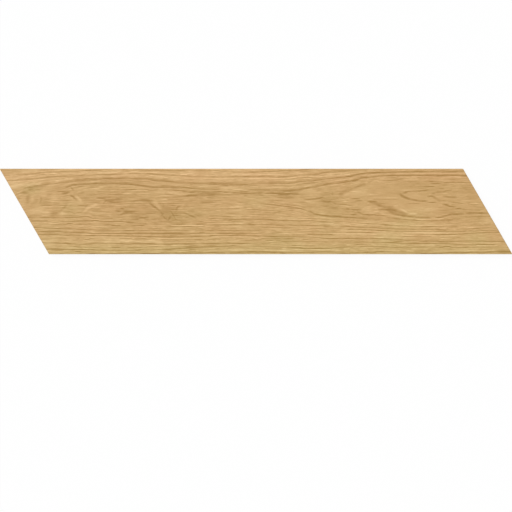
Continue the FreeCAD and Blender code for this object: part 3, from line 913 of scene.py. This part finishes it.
def cad_copy():
    """The tile's solid as a bmesh, with its loose triangles merged.

    The triangles of each flat face are joined too, apart from the back, where the ribs' face has holes.
    """
    if TILE_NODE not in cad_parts:
        raise RuntimeError(f"The frame has no node {TILE_NODE}")
    shape = bmesh.new()
    shape.from_mesh(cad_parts[TILE_NODE].data)
    bmesh.ops.remove_doubles(shape, verts=shape.verts, dist=MERGE_DISTANCE)
    back_height = CAD_LOW.z + (CAD_HIGH.z - CAD_LOW.z) * BACK_SHARE
    joins = []
    for edge in shape.edges:
        clear_of_back = all(face.calc_center_median().z > back_height for face in edge.link_faces)
        if clear_of_back and edge.calc_face_angle() < FLAT_ANGLE:
            joins.append(edge)
    bmesh.ops.dissolve_edges(shape, edges=joins, use_verts=False, use_face_split=False)
    return shape


def level_edges(shape, foot):
    """Level edges of the printed face and its bevel: those along the tile, and those across it."""
    along = []
    across = []
    for edge in shape.edges:
        start, end = [vert.co for vert in edge.verts]
        if min(start.z, end.z) > foot - MERGE_DISTANCE and abs(start.z - end.z) < MERGE_DISTANCE:
            part = across if abs(start.y - end.y) > MERGE_DISTANCE else along
            part.append(edge)
    return along, across


def cut_face(shape, step_along, step_across):
    """Cuts the printed face and its bevel into cells that are small enough for the relief."""
    face = max(shape.faces, key=lambda face: face.calc_center_median().z)
    foot = min(vert.co.z for edge in face.edges for near in edge.link_faces for vert in near.verts)
    for side, step in ((ALONG, step_along), (ACROSS, step_across)):
        edges = level_edges(shape, foot)[side]
        longest = max(edge.calc_length() for edge in edges)
        bmesh.ops.subdivide_edges(shape, edges=edges, cuts=round(longest / step) - 1)


def corner_along(shape, side):
    """Place along X of the left corner of a long side."""
    return min(vert.co.x for vert in shape.verts if abs(vert.co.y - side) < MERGE_DISTANCE)


def lay_out(shape):
    """Lays the tile out on its own map, with the slant of its ends taken out."""
    layer = shape.loops.layers.uv.new(MAP_NAME)
    size = CAD_HIGH - CAD_LOW
    start = corner_along(shape, CAD_LOW.y)
    slant = start - corner_along(shape, CAD_HIGH.y)

    def shares(place):
        across = (place.y - CAD_LOW.y) / size.y
        along = (place.x + slant * across - start) / (size.x - slant)
        return along, across, (place.z - CAD_LOW.z) / size.z

    for face in shape.faces:
        centre = shares(face.calc_center_median())
        if abs(face.normal.z) > SIDE_SLOPE:
            printed = "left print" if centre[ALONG] < MIDDLE else "right print"
            name = printed if face.normal.z > 0 else "back"
        elif abs(face.normal.y) > abs(face.normal.x):
            name = "lower side" if centre[ACROSS] < MIDDLE else "upper side"
        else:
            name = "left end" if centre[ALONG] < MIDDLE else "right end"
        (left, foot, width, height), (axis, first, last), upright = MAP_BOXES[name]
        for loop in face.loops:
            place = shares(loop.vert.co)
            along_box = (place[axis] - first) / (last - first)
            loop[layer].uv = (left + width * along_box, foot + height * place[upright])


def tinted(colour, factors):
    """A colour times a factor each of red, green and blue, within white."""
    return tuple(min(1.0, level * factor) for level, factor in zip(colour, factors))


def swing(noise, texture):
    """What a texture's noise adds to the tone, to either side of none."""
    return (noise - MIDDLE) * texture.tone


def oak_print(finish):
    """Matte glaze with a digital oak print: the drawn figure, and fine textures between its lines."""
    material, nodes = new_material("oak_print")
    along, across = [place / DOT for place in nodes.place("XY")]
    board_row = nodes.attribute("grain_row")
    fibre = nodes.noise(FIBRE, along, across, 0.0)
    grit = nodes.noise(GRIT, along, across, 0.0)
    streaks = nodes.noise(STREAKS, along, board_row, 0.0)
    pores = nodes.noise(PORES, along, board_row, 0.0).between(*PORE_EDGE)
    breaks = nodes.noise(BREAKS, along, board_row, 0.0).between(*BREAK_EDGE, *BREAK_INK)
    clouds = nodes.noise(CLOUDS, along, board_row, 0.0).between(*CLOUD_EDGE)
    fine = swing(fibre, FIBRE) + swing(streaks, STREAKS) + swing(grit, GRIT)
    fine = (fine + pores * PORES.tone) * nodes.attribute("grain_fineness")
    tone = nodes.attribute("grain_tone") * breaks + nodes.attribute("grain_shade") + fine
    share = tone * finish.contrast + finish.level
    cast = nodes.attribute("grain_cast") + (clouds - MIDDLE) * CLOUD_CAST
    woods = (finish.wood_dark, finish.wood, finish.wood_pale)
    rosy, leafy = [nodes.ramp(share, [tinted(wood, tint) for wood in woods]) for tint in (ROSY, LEAFY)]
    colour = nodes.mix_colours(cast, rosy, leafy)
    roughness = finish.print_roughness + pores * PORE_ROUGHNESS + (fibre - MIDDLE) * FIBRE_ROUGHNESS
    nodes.surface(colour, roughness, pores * PORES.bump + fibre * FIBRE.bump, PRINT_BUMP)
    return material


def porcelain_body(finish):
    """Fired body of the ground sides and of the keyed back, with a pale coat under the print."""
    material, nodes = new_material("porcelain_body")
    place = nodes.place()
    height = place[UP]
    clouds = nodes.noise(BODY_CLOUDS, *place)
    grain = nodes.noise(BODY_GRAIN, *place)
    grinding = nodes.noise(GRINDING, *place)
    specks = nodes.noise(SPECKS, *place).between(*SPECK_EDGE)
    tone = swing(clouds, BODY_CLOUDS) + swing(grain, BODY_GRAIN) + swing(grinding, GRINDING)
    tone = tone + specks * SPECKS.tone
    shades = [tinted(finish.body, [factor] * 3) for factor in (BODY_DARK, 1.0, BODY_PALE)]
    bare = nodes.ramp(tone + MIDDLE, shades)
    coat_foot = CAD_HIGH.z - finish.coat_depth
    coat = height.between(coat_foot - COAT_FADE, coat_foot + COAT_FADE) * grain.between(*COAT_GRAIN)
    coated = nodes.mix_colours(coat, bare, (*finish.coat, 1.0))
    on_ribs = (height - CAD_LOW.z).between(*WASH_FADE)
    wash = on_ribs * clouds.between(*WASH_CLOUDS) * grain.between(*WASH_GRAIN)
    colour = nodes.mix_colours(wash, coated, (*finish.wash, 1.0))
    roughness = finish.body_roughness + grain * GRAIN_ROUGHNESS
    roughness = roughness + wash * WASH_ROUGHNESS + coat * COAT_ROUGHNESS
    bump = grain * BODY_GRAIN.bump + grinding * GRINDING.bump + specks * SPECKS.bump
    nodes.surface(colour, roughness, bump, BODY_BUMP)
    return material


class ChevronPrintedTile(bpy.types.Operator):
    """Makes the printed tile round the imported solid"""

    bl_idname = "chevron_tile.printed_tile"
    bl_label = "Printed tile"

    def execute(self, context):
        finish = context.scene.chevron_finish
        shape = cad_copy()
        cut_face(shape, finish.step_along, finish.step_across)
        if not all(edge.is_manifold for edge in shape.edges):
            raise RuntimeError("The printed tile isn't closed")
        lay_out(shape)
        for face in shape.faces:
            face.material_index = PRINT if face.normal.z > SIDE_SLOPE else BODY
            face.smooth = face.normal.z > FACE_SLOPE
        for edge in shape.edges:
            edge.smooth = all(face.smooth for face in edge.link_faces)
        mesh = finished_mesh("printed_tile", shape)
        mesh.materials.append(oak_print(finish))
        mesh.materials.append(porcelain_body(finish))
        self.draw_grain(mesh, finish.relief)
        piece = in_scene(context, "printed_tile", mesh)
        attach(piece, "root")
        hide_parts(TILE_NODE)
        return {"FINISHED"}

    @staticmethod
    def draw_grain(mesh, relief):
        """Stores the drawn grain on the mesh and sinks the printed face by its darkness."""
        places = np.zeros(len(mesh.vertices) * 3, np.float32)
        mesh.vertices.foreach_get("co", places)
        places = places.reshape(-1, 3)
        x, y, z = places.T.astype(float)
        grain = drawn_grain(TILE_COLUMN + x / DOT, TILE_ROW - y / DOT)
        for name, values in grain.items():
            layer = mesh.attributes.new(name, "FLOAT", "POINT")
            layer.data.foreach_set("value", values.astype(np.float32))
        on_face = z > CAD_HIGH.z - MERGE_DISTANCE
        places[:, UP] -= on_face * relief * np.clip(-grain["grain_tone"], 0, 1)
        mesh.vertices.foreach_set("co", places.ravel())
        mesh.update()


class ChevronStage(bpy.types.Operator):
    """Lays the floor and sets the light and the camera"""

    bl_idname = "chevron_tile.stage"
    bl_label = "Stage"

    def execute(self, context):
        stage = context.scene.chevron_stage
        context.scene.view_settings.view_transform = "Standard"
        self.lay_floor(context, stage)
        self.light(context, stage)
        self.place_camera(context, stage)
        return {"FINISHED"}

    @staticmethod
    def lay_floor(context, stage):
        """White floor under the tile, which keeps a little of its shadow."""
        shape = bmesh.new()
        bmesh.ops.create_grid(shape, x_segments=1, y_segments=1, size=stage.floor_size / 2)
        bmesh.ops.translate(shape, verts=shape.verts, vec=(0, 0, CAD_LOW.z - FLOOR_GAP))
        mesh = finished_mesh("floor", shape)
        material, nodes = new_material("white_floor")
        matte = nodes.add("ShaderNodeBsdfDiffuse", None, {"Color": PALE_FLOOR})
        glow = nodes.add("ShaderNodeEmission", None, {"Color": WHITE, "Strength": 1.0})
        plain = nodes.seen_directly() * (1 - stage.floor_shading)
        mixed = nodes.add("ShaderNodeMixShader", None, {0: plain, 1: matte, 2: glow})
        nodes.add("ShaderNodeOutputMaterial", None, {"Surface": mixed})
        mesh.materials.append(material)
        in_scene(context, "floor", mesh)

    @staticmethod
    def light(context, stage):
        """Soft light from all round, with a key light, in front of a white backdrop.

        Both together light a level face so that it shows its colour as it is written.
        """
        world = bpy.data.worlds.new("white_room")
        context.scene.world = world
        world.use_nodes = True
        nodes = Nodes(world.node_tree)
        room = nodes.add("ShaderNodeBackground", None, {"Color": WHITE, "Strength": stage.sky})
        backdrop = nodes.add("ShaderNodeBackground", None, {"Color": WHITE, "Strength": 1.0})
        mixed = nodes.add("ShaderNodeMixShader", None, {0: nodes.seen_directly(), 1: room, 2: backdrop})
        nodes.add("ShaderNodeOutputWorld", None, {"Surface": mixed})
        towards = Vector(stage.sun).normalized()
        lamp = bpy.data.lights.new("key_light", "SUN")
        lamp.energy = (1 - stage.sky) * math.pi / towards.z
        lamp.angle = stage.sun_spread
        in_scene(context, "key_light", lamp).rotation_euler = towards.to_track_quat("Z", "Y").to_euler()

    @staticmethod
    def place_camera(context, stage):
        """Camera that looks straight down on the printed face."""
        camera = bpy.data.cameras.new("camera")
        camera.lens = stage.lens
        distance = stage.picture_width * camera.lens / camera.sensor_width
        item = in_scene(context, "camera", camera)
        item.location = (0, stage.camera_offset, CAD_HIGH.z + distance)
        context.scene.camera = item


class ChevronTilePanel(bpy.types.Panel):
    """Sidebar panel of the chevron tile"""

    bl_idname = "CHEVRONTILE_PT_sidebar"
    bl_label = "Chevron tile"
    bl_space_type = "VIEW_3D"
    bl_region_type = "UI"
    bl_category = "Chevron tile"

    def draw(self, context):
        for group, operator in (
            (context.scene.chevron_finish, ChevronPrintedTile),
            (context.scene.chevron_stage, ChevronStage),
        ):
            box = self.layout.box()
            for name in group.__annotations__:
                box.prop(group, name)
            box.operator(operator.bl_idname)


CLASSES = (ChevronTileFinish, ChevronTileStage, ChevronPrintedTile, ChevronStage, ChevronTilePanel)


def register():
    for item in CLASSES:
        bpy.utils.register_class(item)
    bpy.types.Scene.chevron_finish = bpy.props.PointerProperty(type=ChevronTileFinish)
    bpy.types.Scene.chevron_stage = bpy.props.PointerProperty(type=ChevronTileStage)


def unregister():
    del bpy.types.Scene.chevron_stage
    del bpy.types.Scene.chevron_finish
    for item in reversed(CLASSES):
        bpy.utils.unregister_class(item)


def main():
    """Makes the tile and its stage."""
    register()
    bpy.ops.chevron_tile.printed_tile()
    bpy.ops.chevron_tile.stage()


if __name__ == "__main__":
    main()
